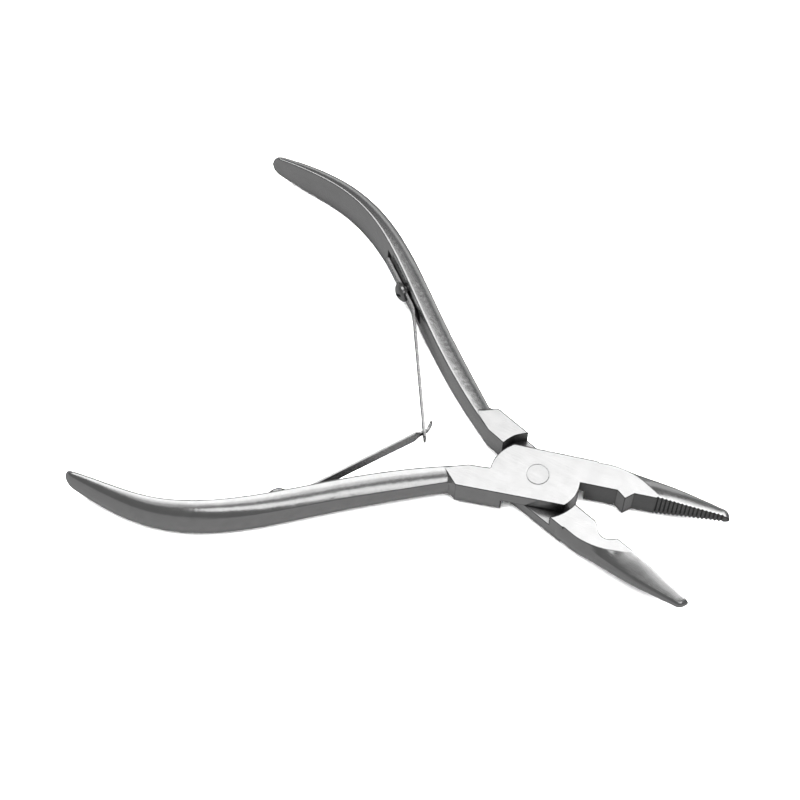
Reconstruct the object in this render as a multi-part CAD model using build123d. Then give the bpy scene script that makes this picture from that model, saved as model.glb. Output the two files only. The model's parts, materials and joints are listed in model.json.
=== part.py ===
from build123d import *
import math
import os

# Lap-joint gripping pliers, all steel, held open by two leaf springs that hook into each other.
# Millimetres.  Z is the pivot axis, z = 0 is the lower face of the lap joint, +X runs along the bisector
# of the open jaws towards their tips, and the front half's handle lies on the -Y side.
#
# Both halves are drawn in one "half frame": the tool closed, jaws towards +u, the jaw above the u axis
# (v > 0) and the handle below it (v < 0).  The front half is that drawing turned by +HALF_OPEN about Z.
# The rear half is the same drawing turned over about the u axis, then turned by -HALF_OPEN.

# ---- driving dimensions
HALF_OPEN = 15.1          # degrees, half the angle between the halves when the springs hold them open
THICK = 7.44              # thickness of the lap joint
MID = THICK / 2           # parting height between the two plates
PLATE_GAP = 0.04          # running gap between the two plates
CLOSE_GAP = 0.03          # how far each gripping face stays off the closing line
RECESS_R = 11.25          # radius of the milled recess that the other half's disc turns in
RECESS_WALL = {           # where its wall runs out through the outer edge; the front half's draws in there
    "front": [(-5.6, -7.9), (-7.6, -6.25), (-10.1, -4.0)],
    "rear": [(-7.0, -8.4), (-8.75, -6.6), (-10.5, -4.04)],
}
BELLY = 6.6               # half width of the joint
NECK_CORNER = (-17.9, -6.86)    # end face of the plate, from its outer corner ...
NECK_END = (-21.2, -3.1)        # ... to the handle's inner face
NECK_SIDE = [(-19.0, -2.0), (-16.0, -0.98), (-13.4, -0.9), (-11.0, -0.75)]   # on towards the disc
SCOOP_LENGTH = 1.7        # the end face runs out over the handle's back in a hollow this long ...
SCOOP_DEPTH = 1.25        # ... and this deep
SCOOP_PLAN = [(-22.6, -3.7), (-20.3, -6.2), (-18.85, -6.3)]   # its outline on the handle, back to the corner

RIVET_R = 2.2             # rivet shank
RIVET_END_R = 2.55        # peened end, ground flush with the plate
RIVET_FLARE = 0.5         # depth of the countersink that the peened end fills
RIVET_PLAY = 0.04         # radial running clearance in the rear half

STRIP_T = 0.5             # spring strip thickness
SEAT_W = 3.2              # strip width at the screw and at the blade's root
STRIP_W = 3.7             # strip width where the blades cross
SEAT_LIFT = 0.5           # the strip stands this far off the handle's inner face, on a round boss
BOSS_R = 1.75
BOSS_ROOT = 0.2           # how far the boss runs into the channel's floor
CHANNEL_W = 4.2           # milled channel under the strip
CHANNEL_DEPTH = 0.5
CHANNEL_U = (-67.0, -51.5, -46.0)   # squared end, end of the straight floor, end of the run-out
CHANNEL_RISE = 1.5        # rise of the floor over the run-out
SEAT_ANGLE = 24.0         # degrees, slope of the seat in the half frame
SEAT_END_U = -65.9        # fixed end of the strip
BLADE_ROOT = (-50.3, -13.3)     # where the free blade starts to swing
BLADE_PLAY = 0.05         # gap between the seat's end and the blade's root
BLADE_ANGLE = {"front": 42.2, "rear": 43.4}
BEND_R = 6.0              # bend between the seat and the blade

TONGUE_W = 1.5            # front blade's tongue, which passes through the rear blade's slot
TONGUE_START = 28.8
TONGUE_BEND = 35.0        # degrees, the tongue is bent over behind the slot
TONGUE_BEND_AT = 31.0
TONGUE_END = 2.3          # length of the bent end
KNOB_W = 2.2              # widened end of the tongue
KNOB_LENGTH = 0.9
KNOB_END = 0.8            # share of its width that the knob keeps at its end
TAPER = 1.3               # length over which the front blade narrows to its tongue
SLOT = (29.3, 32.0)       # slot in the rear blade, from its root
SLOT_W = 2.4
REAR_BLADE_END = 33.4
REAR_TIP_W = 3.1
TIP_ROUNDING = 0.4        # corner cut at the end of the rear blade

SCREW_U = -56.9           # where the spring screw stands
SCREW_HEAD_R = 2.45
SCREW_HEAD_H = 1.75
SCREW_RIM_H = 0.55        # straight rim below the domed top
SCREW_DOME = (0.68, 0.58)       # a point of the dome: share of the head's radius, share of the dome's height
SCREW_SLOT = (0.6, 0.55)  # driver slot: width, depth
SCREW_SLOT_TURN = 35      # degrees, where the slot came to rest
SCREW_R = 1.0
SCREW_DEPTH = 2.9         # how far the screw goes into the handle
SCREW_PLAY = 0.08         # clearance of the screw in the strip

# ---- handle
# (u, v) of the inner edge, from the end of the grip to the neck of the joint
GRIP_EDGE_LINE = [(-106.0, -22.45), (-94.6, -24.77), (-84.2, -25.98), (-73.9, -24.64), (-63.5, -20.91),
                  (-42.8, -11.0), (-22.0, -2.73), (-16.0, -1.0)]
# u, width outwards, half height of the inner face, half height of the outer side
GRIP_SIZES = [
    (-106.0, 1.15, 3.05, 2.30),
    (-94.6, 2.90, 4.90, 3.00),
    (-84.2, 3.65, 5.50, 3.20),
    (-73.9, 4.05, 5.78, 3.35),
    (-63.5, 4.30, 5.32, 3.40),
    (-53.1, 4.42, 4.81, 3.20),
    (-42.8, 4.55, 4.42, 2.85),
    (-32.4, 4.55, 4.06, 2.55),
    (-22.0, 3.95, 3.72, 2.50),
    (-16.0, 3.60, 3.60, 2.50),
]
GRIP_NOSE = 1.9           # length of the rounded end of the grip
GRIP_STATIONS = 22
FIRST_STATION = 0.35      # of a step from the end of the grip
NOSE_EDGE = 0.4           # most that the edge rounding takes of the width, at the nose
GRIP_EDGE = 0.35          # rounding of the inner face's edges
GRIP_SIDE_BULGE = 0.25    # how far the outer side bows out between its two crease lines

# ---- jaw: sections of the tapered half-round nose, before its tip is rounded
# u, half height at the gripping face, width and half height at the crease, width at mid height
JAW = [
    (11.00, 9.20, 6.40, 4.20, 6.50),
    (16.50, 8.10, 6.40, 3.20, 6.72),
    (20.00, 6.80, 6.12, 2.60, 6.58),
    (23.00, 5.20, 5.75, 2.25, 6.36),
    (25.80, 4.10, 5.38, 2.12, 6.05),
    (28.50, 3.70, 4.98, 2.02, 5.70),
    (33.50, 2.87, 4.04, 1.82, 4.85),
    (38.50, 2.10, 2.92, 1.52, 3.70),
    (41.00, 1.72, 2.38, 1.32, 3.10),
    (42.60, 1.49, 2.02, 1.18, 2.70),
    (45.10, 1.12, 1.46, 0.95, 2.08),
]
JAW_NOSE = 1.5            # length of the rounded tip
NOSE_TURNS = (90, 75, 60, 45, 30, 16)   # degrees around the tip's rounding where it has a section

# along the gripping face, depth below it
NIB = [(18.6, 0.0), (20.6, -1.68), (22.5, 0.0)]
SCALLOP = [(17.0, 0.0), (18.3, 0.6), (19.3, 1.45), (20.9, 2.05), (22.5, 1.5), (23.8, 0.0)]
NIB_ROOT = 0.6            # how far the nib and the grooves' cutters run past the gripping face

TOOTH_PITCH = 0.95
TOOTH_START = 28.0
TOOTH_COUNT = 17
TOOTH_DEPTH = {"front": 0.42, "rear": 0.25}
TOOTH_WIDTH = 0.72
REAR_TOOTH_MARGIN = 0.45  # the rear jaw's shallow grooves stop this far short of its edges

# ---- construction
CUT_MARGIN = 2.0          # how far a cutter runs past the face that it cuts
BIG = 200.0               # more than the whole tool
ROUND_MIDDLE = 1 - math.cos(math.radians(45))   # of its radius, from a quarter round's middle to its tangents
HALVINGS = 40


def vertical_plane(u, v, outward):
    """Plane across the half at (u, v): local x points outwards, local y is -Z."""
    along = Vector(-outward[1], outward[0], 0)
    return Plane(origin=(u, v, MID), x_dir=(outward[0], outward[1], 0), z_dir=along)


def grip_section(plane, width, inner, crease):
    """Handle section: flat inner face with rounded edges, domed top and bottom, creased outer side."""
    edge = min(GRIP_EDGE, NOSE_EDGE * width)
    corner = (edge * ROUND_MIDDLE, inner - edge * ROUND_MIDDLE)
    with BuildSketch(plane) as sketch:
        with BuildLine():
            Line((0, edge - inner), (0, inner - edge))
            for side in (1, -1):
                ThreePointArc((0, side * (inner - edge)), (corner[0], side * corner[1]), (edge, side * inner))
                TangentArc((edge, side * inner), (width, side * crease), tangent=(1, 0))
            ThreePointArc((width, crease), (width + GRIP_SIDE_BULGE, 0), (width, -crease))
        make_face()
    return sketch.sketch


def at_abscissa(curve, u):
    """Point of a curve that runs towards +x, at abscissa u."""
    low, high = 0.0, 1.0
    for _ in range(HALVINGS):
        middle = (low + high) / 2
        if curve.position_at(middle).X < u:
            low = middle
        else:
            high = middle
    return middle


def handle():
    """Loft along the inner edge; the sections shrink to a rounded nose at the end of the grip."""
    edge = Spline(*GRIP_EDGE_LINE)
    sizes = [Spline(*[(row[0], row[column]) for row in GRIP_SIZES]) for column in (1, 2, 3)]
    first, last = GRIP_EDGE_LINE[0][0], GRIP_EDGE_LINE[-1][0]
    sections = []
    for index in range(GRIP_STATIONS):
        # stations crowd together towards the nose
        reach = ((index + FIRST_STATION) / (GRIP_STATIONS - 1 + FIRST_STATION)) ** 2
        u = first + (last - first) * reach
        nose = math.sqrt(1 - max(0.0, 1 - (u - first) / GRIP_NOSE) ** 2)
        where = at_abscissa(edge, u)
        point = edge.position_at(where)
        along = edge.tangent_at(where)
        width, inner, crease = [size.position_at(at_abscissa(size, u)).Y * nose for size in sizes]
        plane = vertical_plane(point.X, point.Y, (along.Y, -along.X))
        sections.append(grip_section(plane, width, inner, crease))
    return loft(sections)


def jaw_section(u, inner, crease_v, crease_h, side):
    plane = Plane(origin=(u, 0, MID), x_dir=(0, 1, 0), z_dir=(1, 0, 0))
    start = CLOSE_GAP
    with BuildSketch(plane) as sketch:
        with BuildLine():
            Line((start, -inner), (start, inner))
            for up in (1, -1):
                TangentArc((start, up * inner), (crease_v, up * crease_h), tangent=(1, 0))
            ThreePointArc((crease_v, crease_h), (side, 0), (crease_v, -crease_h))
        make_face()
    return sketch.sketch


def jaw_sizes(u):
    """Sizes of the unrounded jaw at abscissa u."""
    for low, high in zip(JAW, JAW[1:]):
        if low[0] <= u <= high[0]:
            share = (u - low[0]) / (high[0] - low[0])
            return [start + share * (end - start) for start, end in zip(low[1:], high[1:])]
    raise ValueError("abscissa outside the jaw")


def jaw_nose():
    """Loft of the jaw; its sections shrink round the tip."""
    tip = JAW[-1][0]
    sections = [jaw_section(*row) for row in JAW[:-1]]
    for turn in NOSE_TURNS:
        u = tip - JAW_NOSE * (1 - math.cos(math.radians(turn)))
        shrunk = [size * math.sin(math.radians(turn)) for size in jaw_sizes(u)]
        sections.append(jaw_section(u, *shrunk))
    nose = loft(sections)
    slab = Box(BIG, BIG, THICK, align=(Align.CENTER, Align.CENTER, Align.MIN))
    return nose & slab


def joint_outline():
    """Outline of the lap joint: handle neck, disc corners, and the root of the jaw."""
    with BuildSketch() as sketch:
        with BuildLine():
            neck = Polyline(NECK_CORNER, NECK_END, *NECK_SIDE)
            disc = ThreePointArc(neck @ 1, (-9.75, 3.4), (-7.3, 6.15))
            corner = ThreePointArc(disc @ 1, (-6.95, 6.45), (-6.4, BELLY))
            top = Line(corner @ 1, (13.0, BELLY - 0.1))
            root = Line(top @ 1, (14.0, CLOSE_GAP))
            grip = Line(root @ 1, (9.83, CLOSE_GAP))
            lower = ThreePointArc(grip @ 1, (9.45, -3.2), (7.35, -6.5))
            Line(lower @ 1, neck @ 0)
        make_face()
    return sketch.sketch


def scoop():
    """Foot of the plate's end face: it hollows out onto the handle's back, above and below alike."""
    corner, end = Vector(*NECK_CORNER, 0), Vector(*NECK_END, 0)
    across = (end - corner).normalized()
    away = Vector(-across.Y, across.X, 0)
    radius = (SCOOP_LENGTH ** 2 + SCOOP_DEPTH ** 2) / (2 * SCOOP_DEPTH)
    with BuildSketch() as sketch:
        with BuildLine():
            inner, outer, middle = SCOOP_PLAN
            Polyline(NECK_CORNER, NECK_END, inner, outer)
            ThreePointArc(outer, middle, NECK_CORNER)
        make_face()
    foot = extrude(sketch.sketch, THICK)
    for height in (SCOOP_DEPTH - radius, THICK - SCOOP_DEPTH + radius):
        centre = corner + away * SCOOP_LENGTH + Vector(0, 0, height)
        foot -= Plane(origin=centre, z_dir=across).location * Cylinder(radius, BIG)
        beyond = Plane(origin=centre + away * (BIG / 2), x_dir=away, z_dir=Vector(0, 0, 1))
        foot -= beyond.location * Box(BIG, BIG, 2 * radius)
    return foot


def on_rim(degrees):
    turn = math.radians(degrees)
    return (RECESS_R * math.cos(turn), RECESS_R * math.sin(turn))


def recess(side):
    """What the other half's plate turns in: a pocket below the parting height."""
    start, middle, end = RECESS_WALL[side]
    with BuildSketch() as sketch:
        with BuildLine():
            wall = ThreePointArc(start, middle, end)
            back = ThreePointArc(end, on_rim(180), on_rim(150))
            rim = ThreePointArc(back @ 1, on_rim(30), on_rim(-90))
            Line(rim @ 1, wall @ 0)
        make_face()
    return extrude(sketch.sketch, MID + PLATE_GAP / 2)


def prism(points):
    """Upright prism through the whole thickness of the joint."""
    with BuildSketch() as sketch:
        with BuildLine():
            Polyline(*points, close=True)
        make_face()
    return extrude(sketch.sketch, THICK)


def nib():
    """V-shaped nib on the front half's gripping face."""
    (back, _), tip, (front, _) = NIB
    return prism([(back, NIB_ROOT), (back, CLOSE_GAP), tip, (front, CLOSE_GAP), (front, NIB_ROOT)])


def scallop():
    """Rounded hollow in the rear half's gripping face that the nib presses into."""
    with BuildSketch() as sketch:
        with BuildLine():
            hollow = Spline(*SCALLOP)
            Polyline(hollow @ 1, (SCALLOP[-1][0], -CUT_MARGIN), (SCALLOP[0][0], -CUT_MARGIN), hollow @ 0)
        make_face()
    return extrude(sketch.sketch, THICK)


def tooth_grooves(side):
    """Row of V grooves across the gripping face; the rear jaw's stop short of its edges."""
    depth = TOOTH_DEPTH[side]
    half_width = TOOTH_WIDTH / 2
    grooves = []
    for index in range(TOOTH_COUNT):
        u = TOOTH_START + index * TOOTH_PITCH
        groove = prism([(u - half_width, -NIB_ROOT), (u - half_width, CLOSE_GAP), (u, depth),
                        (u + half_width, CLOSE_GAP), (u + half_width, -NIB_ROOT)])
        if side == "rear":
            height = 2 * (jaw_sizes(u)[0] - REAR_TOOTH_MARGIN)
            groove &= Pos(u, 0, MID) * Box(TOOTH_PITCH, 2 * CUT_MARGIN, height)
        grooves.append(groove)
    return grooves


def spring_frame():
    """Where the screw's axis meets the inner face, the direction of the seat, and the inward normal."""
    edge = Spline(*GRIP_EDGE_LINE)
    hit = edge.position_at(at_abscissa(edge, SCREW_U))
    slope = math.radians(SEAT_ANGLE)
    along = Vector(math.cos(slope), math.sin(slope), 0)
    inward = Vector(-along.Y, along.X, 0)
    return hit, along, inward


def channel():
    """Channel milled into the inner face: straight floor, squared end, sloping run-out."""
    hit, along, inward = spring_frame()
    headroom = inward * CUT_MARGIN
    ends = [hit - inward * CHANNEL_DEPTH + along * ((u - SCREW_U) / along.X) for u in CHANNEL_U]
    run_out = ends[2] + inward * CHANNEL_RISE
    corners = [ends[0], ends[1], run_out, run_out + headroom, ends[0] + headroom]
    with BuildSketch(Plane.XY.offset(MID - CHANNEL_W / 2)) as sketch:
        with BuildLine():
            Polyline(*[(corner.X, corner.Y) for corner in corners], close=True)
        make_face()
    return extrude(sketch.sketch, CHANNEL_W)


def screw_plane():
    """Plane on the strip's inner face, local z pointing into the hand gap."""
    hit, along, inward = spring_frame()
    top = hit + inward * (SEAT_LIFT + STRIP_T)
    return Plane(origin=(top.X, top.Y, MID), x_dir=along, z_dir=inward)


def boss():
    """Round boss that holds the strip off the channel's floor."""
    height = SEAT_LIFT + CHANNEL_DEPTH + BOSS_ROOT
    post = Cylinder(BOSS_R, height, align=(Align.CENTER, Align.CENTER, Align.MAX))
    return screw_plane().location * (Pos(0, 0, -STRIP_T) * post)


def screw_shank(radius):
    depth = SCREW_DEPTH + SEAT_LIFT + STRIP_T
    shank = Cylinder(radius, depth, align=(Align.CENTER, Align.CENTER, Align.MAX))
    return screw_plane().location * shank


def spring_screw():
    """Round head screw with a driver slot."""
    crown = SCREW_HEAD_H
    point = -SCREW_DEPTH - SEAT_LIFT - STRIP_T
    out, up = SCREW_DOME
    shoulder = (out * SCREW_HEAD_R, SCREW_RIM_H + up * (crown - SCREW_RIM_H))
    with BuildSketch(Plane.XZ) as sketch:
        with BuildLine():
            Polyline((0, crown), (0, point), (SCREW_R, point), (SCREW_R, 0), (SCREW_HEAD_R, 0),
                     (SCREW_HEAD_R, SCREW_RIM_H))
            ThreePointArc((SCREW_HEAD_R, SCREW_RIM_H), shoulder, (0, crown))
        make_face()
    body = revolve(sketch.sketch, Axis.Z)
    width, depth = SCREW_SLOT
    body -= Pos(0, 0, crown) * Box(3 * SCREW_HEAD_R, width, 2 * depth)
    return screw_plane().location * (Rot(0, 0, SCREW_SLOT_TURN) * body)


def rivet(play=0.0):
    """Pivot rivet, peened into a countersink at each end and ground flush."""
    with BuildSketch(Plane.XZ) as sketch:
        with BuildLine():
            Polyline((0, 0), (RIVET_END_R + play, 0), (RIVET_R + play, RIVET_FLARE),
                     (RIVET_R + play, THICK - RIVET_FLARE), (RIVET_END_R + play, THICK), (0, THICK), close=True)
        make_face()
    return revolve(sketch.sketch, Axis.Z)


def strip(points, radius, width):
    """Flat strip of spring steel along a centre line in the u, v plane."""
    line = FilletPolyline(*points, radius=radius) if radius else Line(*points)
    face = trace(line, STRIP_T)
    return Pos(0, 0, MID - width / 2) * extrude(face, width)


def spring_seat(side):
    """Fixed end of a leaf spring: flat under the screw, then bent up towards the blade."""
    hit, along, inward = spring_frame()
    start = hit + inward * (SEAT_LIFT + STRIP_T / 2) + along * ((SEAT_END_U - SCREW_U) / along.X)
    rise = math.radians(BLADE_ANGLE[side])
    blade = Vector(math.cos(rise), math.sin(rise), 0)
    root = Vector(*BLADE_ROOT, 0)
    reach = (root - start).cross(blade).Z / along.cross(blade).Z
    end = root - blade * (STRIP_T / 2 + BLADE_PLAY)
    return strip([start, start + along * reach, end], BEND_R, SEAT_W) - screw_shank(SCREW_R + SCREW_PLAY)


def blade_blank(length, bend_at=None, bend=0.0, bent=0.0):
    """Blade along +x from its root, with a rounded root, bent sideways near its end if asked."""
    if bend_at:
        turn = math.radians(bend)
        end = (bend_at + bent * math.cos(turn), bent * math.sin(turn))
        blank = strip([(0, 0), (bend_at, 0), end], STRIP_T, STRIP_W)
    else:
        blank = strip([(0, 0), (length, 0)], None, STRIP_W)
    root = Cylinder(STRIP_T / 2, STRIP_W, align=(Align.CENTER, Align.CENTER, Align.MIN))
    return blank + Pos(0, 0, MID - STRIP_W / 2) * root


def blade_plan(half_outline):
    """Cutter with the blade's outline seen square to its face, mirrored about mid height."""
    points = half_outline + [(x, -y) for x, y in reversed(half_outline)]
    with BuildSketch(Plane(origin=(0, 0, MID), x_dir=(1, 0, 0), z_dir=(0, -1, 0))) as sketch:
        with BuildLine():
            Polyline(*points, close=True)
        make_face()
    return extrude(sketch.sketch, STRIP_W, both=True)


def front_blade():
    """Blade that narrows to a tongue with a widened end, which hooks through the rear blade's slot."""
    wide, neck, knob = STRIP_W / 2, TONGUE_W / 2, KNOB_W / 2
    tip = TONGUE_BEND_AT + TONGUE_END
    cut = blade_plan([(-STRIP_T, SEAT_W / 2), (0, SEAT_W / 2), (TONGUE_START - TAPER, wide),
                      (TONGUE_START, neck), (tip - 2 * KNOB_LENGTH, neck), (tip - KNOB_LENGTH, knob),
                      (tip, knob * KNOB_END)])
    return blade_blank(0, TONGUE_BEND_AT, TONGUE_BEND, TONGUE_END) & cut


def rear_blade():
    """Blade with a slot near its end."""
    wide, tip = STRIP_W / 2, REAR_TIP_W / 2
    cut = blade_plan([(-STRIP_T, SEAT_W / 2), (0, SEAT_W / 2), (SLOT[0], wide), (SLOT[1], wide),
                      (REAR_BLADE_END - TIP_ROUNDING, tip), (REAR_BLADE_END, tip - TIP_ROUNDING)])
    slot = Pos((SLOT[0] + SLOT[1]) / 2, 0, MID) * Box(SLOT[1] - SLOT[0], 2 * CUT_MARGIN, SLOT_W)
    return (blade_blank(REAR_BLADE_END) & cut) - slot


def spring_blade(side):
    shape = front_blade() if side == "front" else rear_blade()
    return Pos(*BLADE_ROOT, 0) * (Rot(0, 0, BLADE_ANGLE[side]) * shape)


def half(side):
    """One forging: handle, lap joint plate and jaw."""
    body = extrude(joint_outline(), THICK) + handle() + jaw_nose() + scoop()
    if side == "front":
        body += nib()
    else:
        body -= scallop()
    body -= recess(side)
    body -= tooth_grooves(side)
    body -= channel()
    body += boss()
    body -= screw_shank(SCREW_R)
    body -= rivet(0.0 if side == "front" else RIVET_PLAY)
    return body


def place(shape, side):
    """Move a shape from the half frame to its place in the open tool."""
    if side == "front":
        return Rot(0, 0, HALF_OPEN) * shape
    return Rot(0, 0, -HALF_OPEN) * (Pos(0, 0, THICK) * (Rot(180, 0, 0) * shape))


def main():
    os.makedirs("parts", exist_ok=True)
    export_step(place(rivet(), "front"), "parts/pivot_rivet.step")
    for side in ("front", "rear"):
        pieces = {
            "half": half(side),
            "spring_seat": spring_seat(side),
            "spring_blade": spring_blade(side),
            "spring_screw": spring_screw(),
        }
        for name, shape in pieces.items():
            export_step(place(shape, side), f"parts/{side}_{name}.step")


main()
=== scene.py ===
import json
import math

import bmesh
import bpy
from mathutils import Matrix, Vector


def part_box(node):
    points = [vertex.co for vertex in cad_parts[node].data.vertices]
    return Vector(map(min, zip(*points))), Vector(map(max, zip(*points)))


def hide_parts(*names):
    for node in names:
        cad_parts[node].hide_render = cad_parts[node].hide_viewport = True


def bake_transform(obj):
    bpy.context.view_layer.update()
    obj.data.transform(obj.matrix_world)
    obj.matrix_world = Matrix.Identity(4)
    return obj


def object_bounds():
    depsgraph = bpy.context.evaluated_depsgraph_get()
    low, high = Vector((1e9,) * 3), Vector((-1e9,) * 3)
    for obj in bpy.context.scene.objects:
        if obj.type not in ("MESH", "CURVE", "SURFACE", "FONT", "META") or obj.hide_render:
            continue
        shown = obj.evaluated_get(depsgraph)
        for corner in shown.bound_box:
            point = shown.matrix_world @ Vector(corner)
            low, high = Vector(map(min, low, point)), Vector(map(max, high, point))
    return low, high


# Small lap-joint pliers in ground and polished steel.  Metres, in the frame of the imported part:
# Z is the pivot axis, +X runs between the jaws, the front half's handle lies on the -Y side.

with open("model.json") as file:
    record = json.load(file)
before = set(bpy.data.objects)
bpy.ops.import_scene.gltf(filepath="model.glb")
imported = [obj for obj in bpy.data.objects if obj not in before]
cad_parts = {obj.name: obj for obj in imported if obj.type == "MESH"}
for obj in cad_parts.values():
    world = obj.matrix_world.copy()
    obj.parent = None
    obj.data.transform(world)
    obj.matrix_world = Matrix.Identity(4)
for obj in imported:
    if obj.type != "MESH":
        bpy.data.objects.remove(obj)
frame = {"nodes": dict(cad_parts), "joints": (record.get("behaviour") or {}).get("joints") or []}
cad_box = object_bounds()
MM = 0.001

# ---- camera and stage
CAMERA_TARGET = Vector((-37.91, 4.74, 3.0)) * MM
CAMERA_DISTANCE = 558.11 * MM
CAMERA_AZIMUTH = 24.57        # degrees about Z
CAMERA_ELEVATION = 60.55
CAMERA_ROLL = 3.08
CAMERA_LENS = 106.73          # mm
CAMERA_SENSOR = 36            # mm
CAMERA_CLIP = 0.01
LAMP_DISTANCE = 0.9
FLOOR_HALF = 3.0
PAPER_GREY = 0.93
SKY, GROUND = 0.15, 0.28      # world strength above and below the horizon
HORIZON_BLEND = 0.1           # they mix within this height of the horizon, on the unit sphere

# ---- springs: one bent strip each
STRIP_THICK = 0.6 * MM        # 0.1 mm over the CAD strip's, so that the strip shows
STRIP_EDGE = 0.08 * MM        # rounding of the strip's edges
SEAT_WIDTH = 3.2 * MM
SEAT_CORNER = (0.4 * MM, 0.5 * MM)      # corner cut at the seat's end: along the strip, across it
BLADE_WIDTH = 3.7 * MM        # where the blades cross
HALF_OPEN = 15.1              # degrees, half the opening at rest
SEAT_ANGLE = 24.0             # degrees, against the half's own axis
BLADE_ANGLE = {"front": 42.2, "rear": 43.4}
BEND_RADIUS = 6.0 * MM
BEND_STEPS = 14
TONGUE_WIDTH = 1.5 * MM
TONGUE_START = 28.8 * MM      # distances along the blade, from its root
TONGUE_TAPER = 1.3 * MM
TONGUE_BEND_AT = 31.0 * MM
TONGUE_BEND = 35.0            # degrees
TONGUE_BEND_STEPS = 6
TONGUE_END = 2.3 * MM
KNOB_WIDTH = 2.2 * MM
KNOB_LENGTH = 0.9 * MM
KNOB_END = 0.8                # share of its width that the knob keeps at its end
SLOT = (29.3 * MM, 32.0 * MM)
SLOT_WIDTH = 2.4 * MM
SLOT_LANE = 0.6               # where the strip is narrow, its middle lane is this share of its width
REAR_END = 33.4 * MM
REAR_TIP_WIDTH = 3.1 * MM
REAR_CORNER = 0.4 * MM        # corner cut at the rear blade's end

# ---- steel
FORGING_GREYS = (0.57, 0.62)  # darkest and lightest of the mottle
STRIP_GREYS = (0.5, 0.56)
SCREW_GREYS = (0.42, 0.5)
PAINTED_SHADE_GREY = 0.02                   # grey that the painted shade takes the colour down to, in gaps, creases, along edges and on the gripping face
GRAIN = {"scale": 1.3, "detail": 6, "stretch": (0.12, 5.0, 5.0)}    # fine lines along X
GRAIN_DEPTH, GRAIN_STRENGTH = 0.003 * MM, 0.25
MOTTLE = {"scale": 0.3, "detail": 4, "offset": 3.0}
MOTTLE_DEPTH, MOTTLE_STRENGTH = 0.01 * MM, 0.05
ROUGH_SPREAD = (-0.03, 0.06)  # roughness over the grain, about the steel's own
FORGING_EDGE = 0.45 * MM      # radius of the forgings' broken edges
# painted shade along the forgings' edges: how far their colour falls toward the shade grey
FORGING_EDGE_SHADE = 0.12
EDGE_SAMPLES = 8
CREASE = (0.85, 0.995)        # cosine of the turn over an edge: painted edge shade fully dark, clear
# painted shade from ambient occlusion: in the gaps between parts, and in the roots of the teeth
GAP_SAMPLES = 6
GAP = {"reach": 7 * MM, "floor": 0.08, "shut_at": 0.4, "open_at": 0.75}
TOOTH_GAP = {"reach": 0.5 * MM, "floor": 0.15, "shut_at": 0.5, "open_at": 0.95}
# painted shade on the gripping faces, standing in for the shadowed floor that they reflect
GRIP_FACING = (0.55, 0.9)     # cosine to the gripping face's direction: clear, fully shaded
GRIP_SHADE = 0.45
GRIP_START = (9.2 * MM, 9.8 * MM)       # the shade sets in over this stretch, from the pivot


# ---- node helpers
def new_material(name):
    material = bpy.data.materials.new(name)
    material.use_nodes = True
    return material, material.node_tree, material.node_tree.nodes["Principled BSDF"]


def add(tree, kind, **inputs):
    """New node with its input sockets set by name."""
    node = tree.nodes.new(kind)
    for name, value in inputs.items():
        node.inputs[name].default_value = value
    return node


def noise(tree, scale, detail, stretch=(1, 1, 1), turn=0.0, offset=0.0):
    """Noise over object space in millimetres, drawn out along an axis if asked.

    turn and offset move the pattern after it is drawn out, so they choose another patch of it.
    """
    place = tree.nodes.new("ShaderNodeTexCoord")
    mapping = add(tree, "ShaderNodeMapping", Scale=[part / MM for part in stretch],
                  Rotation=(0, 0, math.radians(turn)), Location=(offset, offset, offset))
    tree.links.new(place.outputs["Object"], mapping.inputs["Vector"])
    texture = add(tree, "ShaderNodeTexNoise", Scale=scale, Detail=detail)
    tree.links.new(mapping.outputs["Vector"], texture.inputs["Vector"])
    return texture.outputs["Fac"]


def ramp(tree, factor, low, high, start=0.3, end=0.7):
    """Maps a factor that runs from start to end onto low to high."""
    node = add(tree, "ShaderNodeMapRange")
    node.inputs["From Min"].default_value = start
    node.inputs["From Max"].default_value = end
    node.inputs["To Min"].default_value = low
    node.inputs["To Max"].default_value = high
    tree.links.new(factor, node.inputs["Value"])
    return node.outputs["Result"]


def mix(tree, factor, first, second):
    """Colour between two; each is a grey level or a socket."""
    node = tree.nodes.new("ShaderNodeMix")
    node.data_type = "RGBA"
    tree.links.new(factor, node.inputs["Factor"])
    for name, colour in (("A", first), ("B", second)):
        if isinstance(colour, float):
            node.inputs[name].default_value = (colour, colour, colour, 1)
        else:
            tree.links.new(colour, node.inputs[name])
    return node.outputs["Result"]


def combine(tree, operation, first, second):
    node = tree.nodes.new("ShaderNodeMath")
    node.operation = operation
    tree.links.new(first, node.inputs[0])
    tree.links.new(second, node.inputs[1])
    return node.outputs[0]


def dot_product(tree, vector):
    """Dot product node with its first input linked."""
    node = tree.nodes.new("ShaderNodeVectorMath")
    node.operation = "DOT_PRODUCT"
    tree.links.new(vector, node.inputs[0])
    return node


def along(tree, coordinate, direction):
    """How far a point or a normal reaches along a direction."""
    place = tree.nodes.new("ShaderNodeTexCoord")
    node = dot_product(tree, place.outputs[coordinate])
    node.inputs[1].default_value = direction
    return node.outputs["Value"]


def bump(tree, height, distance, strength, normal):
    node = add(tree, "ShaderNodeBump", Strength=strength, Distance=distance)
    tree.links.new(height, node.inputs["Height"])
    tree.links.new(normal, node.inputs["Normal"])
    return node.outputs["Normal"]


def rounded_edges(tree, radius):
    """Normal that looks as if every sharp edge had been broken with a stone."""
    node = add(tree, "ShaderNodeBevel", Radius=radius)
    node.samples = EDGE_SAMPLES
    return node.outputs["Normal"]


def painted_edge_shade(tree, rounded, dark):
    """1 on the faces, falling to dark along their broken edges: painted shade, standing in for the dark
    surroundings that the rounded edges reflect.
    """
    flat = tree.nodes.new("ShaderNodeNewGeometry")
    node = dot_product(tree, rounded)
    tree.links.new(flat.outputs["Normal"], node.inputs[1])
    return ramp(tree, node.outputs["Value"], dark, 1.0, *CREASE)


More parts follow.
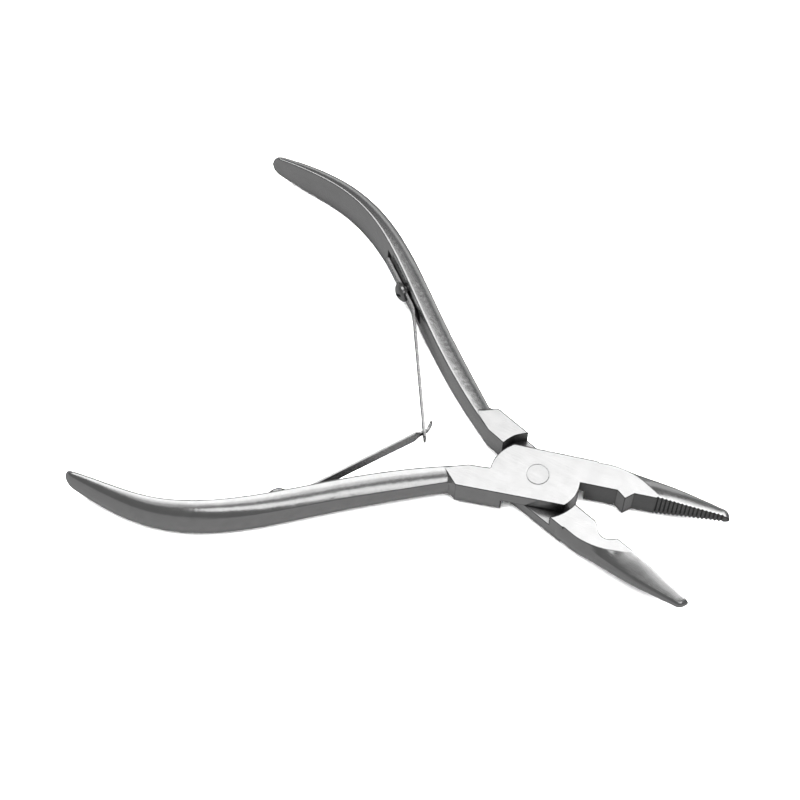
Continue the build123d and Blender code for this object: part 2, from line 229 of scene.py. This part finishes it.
def painted_gap_shade(tree, reach, floor, shut_at, open_at):
    """1 on open surfaces, falling to floor deep in a gap: painted shade, from ambient occlusion."""
    node = add(tree, "ShaderNodeAmbientOcclusion", Distance=reach)
    node.samples = GAP_SAMPLES
    return ramp(tree, node.outputs["AO"], floor, 1.0, shut_at, open_at)


def painted_grip_shade(tree, look, point):
    """Painted shade: dark on the gripping face beyond the joint, standing in for the shadowed floor it
    reflects, and darker in the roots of its teeth; 1 elsewhere.
    """
    face = ramp(tree, along(tree, "Normal", look), 1.0, GRIP_SHADE, *GRIP_FACING)
    before = ramp(tree, along(tree, "Object", point), 1.0, 0.0, *GRIP_START)
    shade = combine(tree, "MAXIMUM", face, before)
    return combine(tree, "MULTIPLY", shade, painted_gap_shade(tree, **TOOTH_GAP))


# ---- materials
def steel(name, greys, rough, pattern_turn, edge, edge_dark=FORGING_EDGE_SHADE, grip=None):
    """Ground and polished steel: fine grinding lines, a soft mottle and broken edges, darkened by painted
    shade in its gaps and along its edges.

    pattern_turn gives a piece its own patch of the grinding lines. grip is (the way the gripping face
    looks, the way the jaw points): that face is painted dark, standing in for the shadowed floor it
    reflects.
    """
    material, tree, shader = new_material(name)
    grain = noise(tree, turn=pattern_turn, **GRAIN)
    mottle = noise(tree, **MOTTLE)
    rounded = rounded_edges(tree, edge)
    colour = mix(tree, ramp(tree, mottle, 0.0, 1.0), *greys)
    # painted shade: the colour darkens in gaps and along edges
    shade = combine(tree, "MULTIPLY", painted_gap_shade(tree, **GAP), painted_edge_shade(tree, rounded, edge_dark))
    # painted shade on the gripping face
    if grip:
        shade = combine(tree, "MULTIPLY", shade, painted_grip_shade(tree, *grip))
    roughness = ramp(tree, grain, *[rough + part for part in ROUGH_SPREAD])
    normal = bump(tree, grain, GRAIN_DEPTH, GRAIN_STRENGTH, rounded)
    normal = bump(tree, mottle, MOTTLE_DEPTH, MOTTLE_STRENGTH, normal)
    # the base colour falls toward the painted shade grey wherever the painted shade is
    tree.links.new(mix(tree, shade, PAINTED_SHADE_GREY, colour), shader.inputs["Base Color"])
    tree.links.new(roughness, shader.inputs["Roughness"])
    tree.links.new(normal, shader.inputs["Normal"])
    shader.inputs["Metallic"].default_value = 1.0
    return material


def forging_steel(side):
    """Steel of one half, with painted shade on its gripping face."""
    sign = 1 if side == "front" else -1
    turn = sign * HALF_OPEN
    swing = Matrix.Rotation(math.radians(turn), 3, "Z")
    look, point = swing @ Vector((0, -sign, 0)), swing @ Vector((1, 0, 0))
    return steel(side + "_forging", FORGING_GREYS, rough=0.2, pattern_turn=turn, edge=FORGING_EDGE,
                 grip=(look, point))


def paint(node_name, material):
    node = frame["nodes"][node_name]
    node.data.materials.clear()
    node.data.materials.append(material)


# ---- springs
def rounded_corner(before, corner, after, radius, steps):
    """Points of the arc that rounds a corner of a path in the XY plane."""
    back, ahead = (before - corner).normalized(), (after - corner).normalized()
    opening = back.angle(ahead)
    reach = radius / math.tan(opening / 2)
    centre = corner + (back + ahead).normalized() * (radius / math.sin(opening / 2))
    start, end = corner + back * reach - centre, corner + ahead * reach - centre
    sweep = start.angle(end)
    points = []
    for step in range(steps + 1):
        share = step / steps
        spoke = start * math.sin((1 - share) * sweep) + end * math.sin(share * sweep)
        points.append(centre + spoke / math.sin(sweep))
    return points


def spring_path(side, sign):
    """Start of a spring's centre line, the corner of its bend, and the blade's root and direction."""
    joint = next(j for j in frame["joints"] if j["name"] == side + "_spring_bend")
    root = Vector((joint["pos_m"][0], joint["pos_m"][1], 0))
    seat_turn = math.radians(SEAT_ANGLE + HALF_OPEN)
    blade_turn = math.radians(BLADE_ANGLE[side] + HALF_OPEN)
    seat = Vector((math.cos(seat_turn), sign * math.sin(seat_turn), 0))
    blade = Vector((math.cos(blade_turn), sign * math.sin(blade_turn), 0))
    low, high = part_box(side + "_spring_seat")
    outer_y = low.y if side == "front" else high.y
    half_thick = STRIP_THICK / 2
    start = Vector((low.x + half_thick * math.sin(seat_turn),
                    outer_y + sign * half_thick * math.cos(seat_turn), 0))
    gap = root - start
    corner = start + seat * (gap.cross(blade).z / seat.cross(blade).z)
    return start, corner, root, blade


def front_end(root, blade, sign):
    """Stations of the front blade's taper, bent tongue and knob."""
    turn = math.radians(BLADE_ANGLE["front"] + HALF_OPEN + TONGUE_BEND)
    bent = Vector((math.cos(turn), sign * math.sin(turn), 0))
    hook = root + blade * TONGUE_BEND_AT
    tongue_half, knob_half = TONGUE_WIDTH / 2, KNOB_WIDTH / 2
    stations = [(root + blade * (TONGUE_START - TONGUE_TAPER), BLADE_WIDTH / 2),
                (root + blade * TONGUE_START, tongue_half)]
    rounding = rounded_corner(root, hook, hook + bent, STRIP_THICK, TONGUE_BEND_STEPS)
    stations += [(point, tongue_half) for point in rounding]
    stations += [(hook + bent * (TONGUE_END - 2 * KNOB_LENGTH), tongue_half),
                 (hook + bent * (TONGUE_END - KNOB_LENGTH), knob_half),
                 (hook + bent * TONGUE_END, KNOB_END * knob_half)]
    return stations


def rear_end(root, blade):
    """Stations of the rear blade's slot and rounded end."""
    blade_half, tip_half = BLADE_WIDTH / 2, REAR_TIP_WIDTH / 2
    reaches = [(SLOT[0], blade_half), (SLOT[1], blade_half), (REAR_END - REAR_CORNER, tip_half),
               (REAR_END, tip_half - REAR_CORNER)]
    return [(root + blade * reach, half) for reach, half in reaches]


def strip_piece(name, stations, height, slot_row):
    """Sheet of three lanes through (point, half width) stations, thickened; the slot is a gap in one row."""
    mesh = bmesh.new()
    rows = []
    for point, half in stations:
        inner = min(SLOT_WIDTH / 2, half * SLOT_LANE)
        levels = (-half, -inner, inner, half)
        rows.append([mesh.verts.new((point.x, point.y, height + level)) for level in levels])
    for index, (lower, upper) in enumerate(zip(rows, rows[1:])):
        lanes = (0, 2) if index == slot_row else (0, 1, 2)
        for lane in lanes:
            mesh.faces.new([lower[lane], lower[lane + 1], upper[lane + 1], upper[lane]])
    data = bpy.data.meshes.new(name)
    mesh.to_mesh(data)
    mesh.free()
    piece = bpy.data.objects.new(name, data)
    bpy.context.scene.collection.objects.link(piece)
    thicken = piece.modifiers.new("thicken", "SOLIDIFY")
    thicken.thickness = STRIP_THICK
    thicken.offset = 0
    soften = piece.modifiers.new("soften", "BEVEL")
    soften.width = STRIP_EDGE
    soften.segments = 2
    soften.limit_method = "ANGLE"
    depsgraph = bpy.context.evaluated_depsgraph_get()
    finished = bpy.data.meshes.new_from_object(piece.evaluated_get(depsgraph))
    piece.modifiers.clear()
    piece.data = finished
    return piece


def spring(side, material):
    """One leaf spring: seat, bend, blade, and its end: hooked at the front, slotted at the rear."""
    sign = 1 if side == "front" else -1
    start, corner, root, blade = spring_path(side, sign)
    seat_half = SEAT_WIDTH / 2
    cut_along, cut_across = SEAT_CORNER
    stations = [(start, seat_half - cut_across),
                (start + (corner - start).normalized() * cut_along, seat_half)]
    bend = rounded_corner(start, corner, root, BEND_RADIUS, BEND_STEPS)
    stations += [(point, seat_half) for point in bend]
    stations.append((root, seat_half))
    if side == "front":
        slot_row = None
        stations += front_end(root, blade, sign)
    else:
        slot_row = len(stations)
        stations += rear_end(root, blade)
    low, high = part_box(side + "_spring_blade")
    height = (low.z + high.z) / 2
    piece = strip_piece(side + "_leaf_spring", stations, height, slot_row)
    piece.data.materials.append(material)
    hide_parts(side + "_spring_seat", side + "_spring_blade")
    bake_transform(piece)


# ---- camera, lamps and floor
def build_camera():
    azimuth, elevation = math.radians(CAMERA_AZIMUTH), math.radians(CAMERA_ELEVATION)
    roll = math.radians(CAMERA_ROLL)
    back = Vector((math.sin(azimuth) * math.cos(elevation), -math.cos(azimuth) * math.cos(elevation),
                   math.sin(elevation)))
    level = Vector((math.cos(azimuth), math.sin(azimuth), 0))
    right = level * math.cos(roll) + back.cross(level) * math.sin(roll)
    above = back.cross(right)
    camera = bpy.data.objects.new("camera", bpy.data.cameras.new("camera"))
    camera.data.lens = CAMERA_LENS
    camera.data.sensor_width = CAMERA_SENSOR
    camera.data.clip_start = CAMERA_CLIP
    place = CAMERA_TARGET + back * CAMERA_DISTANCE
    camera.matrix_world = Matrix.Translation(place) @ Matrix((right, above, back)).transposed().to_4x4()
    bpy.context.scene.collection.objects.link(camera)
    bpy.context.scene.camera = camera


def panel(name, arc, span, width, radiance, side=0.0, glossy=True):
    """Soft lamp seen from the tool at an angle over the camera's own vertical plane.

    arc runs from 0 at the horizon on the camera's side over the zenith to 180; span is how wide the lamp
    looks along that arc and width across it, all in degrees. side swings the arc about Z.
    """
    lamp = bpy.data.lights.new(name, "AREA")
    lamp.shape = "RECTANGLE"
    lamp.size = 2 * LAMP_DISTANCE * math.tan(math.radians(width / 2))
    lamp.size_y = 2 * LAMP_DISTANCE * math.tan(math.radians(span / 2))
    lamp.energy = radiance * math.pi * lamp.size * lamp.size_y
    turn = math.radians(CAMERA_AZIMUTH + side)
    up = math.radians(arc)
    towards = Vector((math.sin(turn), -math.cos(turn), 0))
    across = Vector((math.cos(turn), math.sin(turn), 0))
    way = towards * math.cos(up) + Vector((0, 0, math.sin(up)))
    over = way.cross(across)
    place = CAMERA_TARGET + way * LAMP_DISTANCE
    lamp_object = bpy.data.objects.new(name, lamp)
    lamp_object.matrix_world = Matrix.Translation(place) @ Matrix((across, over, way)).transposed().to_4x4()
    lamp_object.visible_glossy = glossy
    bpy.context.scene.collection.objects.link(lamp_object)


def build_floor():
    """Plain paper that the steel doesn't mirror."""
    mesh = bpy.data.meshes.new("floor")
    corners = [(x * FLOOR_HALF, y * FLOOR_HALF, 0) for x, y in ((-1, -1), (1, -1), (1, 1), (-1, 1))]
    mesh.from_pydata(corners, [], [(0, 1, 2, 3)])
    floor = bpy.data.objects.new("floor", mesh)
    floor.location.z = cad_box[0].z
    material, _, shader = new_material("paper")
    shader.inputs["Base Color"].default_value = (PAPER_GREY, PAPER_GREY, PAPER_GREY, 1)
    shader.inputs["Roughness"].default_value = 0.9
    shader.inputs["Specular IOR Level"].default_value = 0.0
    mesh.materials.append(material)
    floor.visible_glossy = False
    bpy.context.scene.collection.objects.link(floor)


def build_world():
    """Dim studio: one grey above the horizon and another below it."""
    world = bpy.data.worlds.new("studio")
    world.use_nodes = True
    tree = world.node_tree
    place = tree.nodes.new("ShaderNodeTexCoord")
    split = tree.nodes.new("ShaderNodeSeparateXYZ")
    tree.links.new(place.outputs["Generated"], split.inputs["Vector"])
    level = ramp(tree, split.outputs["Z"], GROUND, SKY, -HORIZON_BLEND, HORIZON_BLEND)
    background = tree.nodes["Background"]
    background.inputs["Color"].default_value = (1, 1, 1, 1)
    tree.links.new(level, background.inputs["Strength"])
    bpy.context.scene.world = world


bpy.context.scene.view_settings.view_transform = "Standard"
build_camera()
build_floor()
build_world()
panel("back_panel", arc=109, span=26, width=100, radiance=1.55)
panel("back_fade", arc=90, span=12, width=70, radiance=0.6)
panel("back_right_panel", arc=131, span=30, width=36, radiance=1.4, side=-60)
panel("front_panel", arc=54, span=18, width=34, radiance=1.3, side=24)
panel("left_panel", arc=76, span=40, width=26, radiance=0.4, side=-55)
panel("horizon_panel", arc=172, span=22, width=110, radiance=0.45)
panel("floor_lamp", arc=90, span=60, width=60, radiance=16.0, glossy=False)

paint("front_half", forging_steel("front"))
paint("rear_half", forging_steel("rear"))
rivet_steel = steel("rivet_steel", FORGING_GREYS, rough=0.22, pattern_turn=40, edge=0.1 * MM, edge_dark=0.8)
strip_steel = steel("strip_steel", STRIP_GREYS, rough=0.25, pattern_turn=50, edge=0.05 * MM)
screw_steel = steel("screw_steel", SCREW_GREYS, rough=0.18, pattern_turn=0, edge=0.1 * MM)
paint("pivot_rivet", rivet_steel)
for side in ("front", "rear"):
    paint(side + "_spring_screw", screw_steel)
    spring(side, strip_steel)
